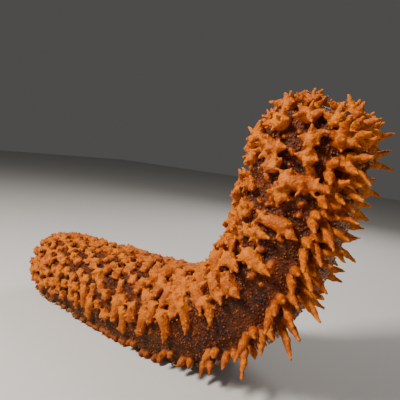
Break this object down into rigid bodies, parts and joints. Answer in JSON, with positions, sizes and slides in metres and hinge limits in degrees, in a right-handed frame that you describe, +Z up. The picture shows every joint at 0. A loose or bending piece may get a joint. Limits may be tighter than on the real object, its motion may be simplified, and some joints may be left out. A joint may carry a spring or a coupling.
{
  "type": "sea cucumber",
  "caption": "Life-size pineapple sea cucumber, hind body lying on its flat sole and front reared up, with pointed fleshy papillae over the back and a fringe along both margins.",
  "frame": {"origin": "on the flat sole at floor level, 170 mm along the body from the tail end", "axes": "+X from the tail towards the reared front end, +Y to the animal's left, +Z up"},
  "size_m": [0.4266, 0.1414, 0.2932],
  "materials": {
    "skin": "leathery wet body wall, rust orange on the papillae and dark red-brown between them",
    "mouth": "soft dark brown tentacles drawn in round the mouth"
  },
  "bodies": {
    "root": {"tail_end": "skin", "hind_body": "skin", "mid_body": "skin", "lower_fore_body": "skin", "upper_fore_body": "skin", "head_end": "skin", "tentacle_crown": "mouth"}
  },
  "joints": []
}
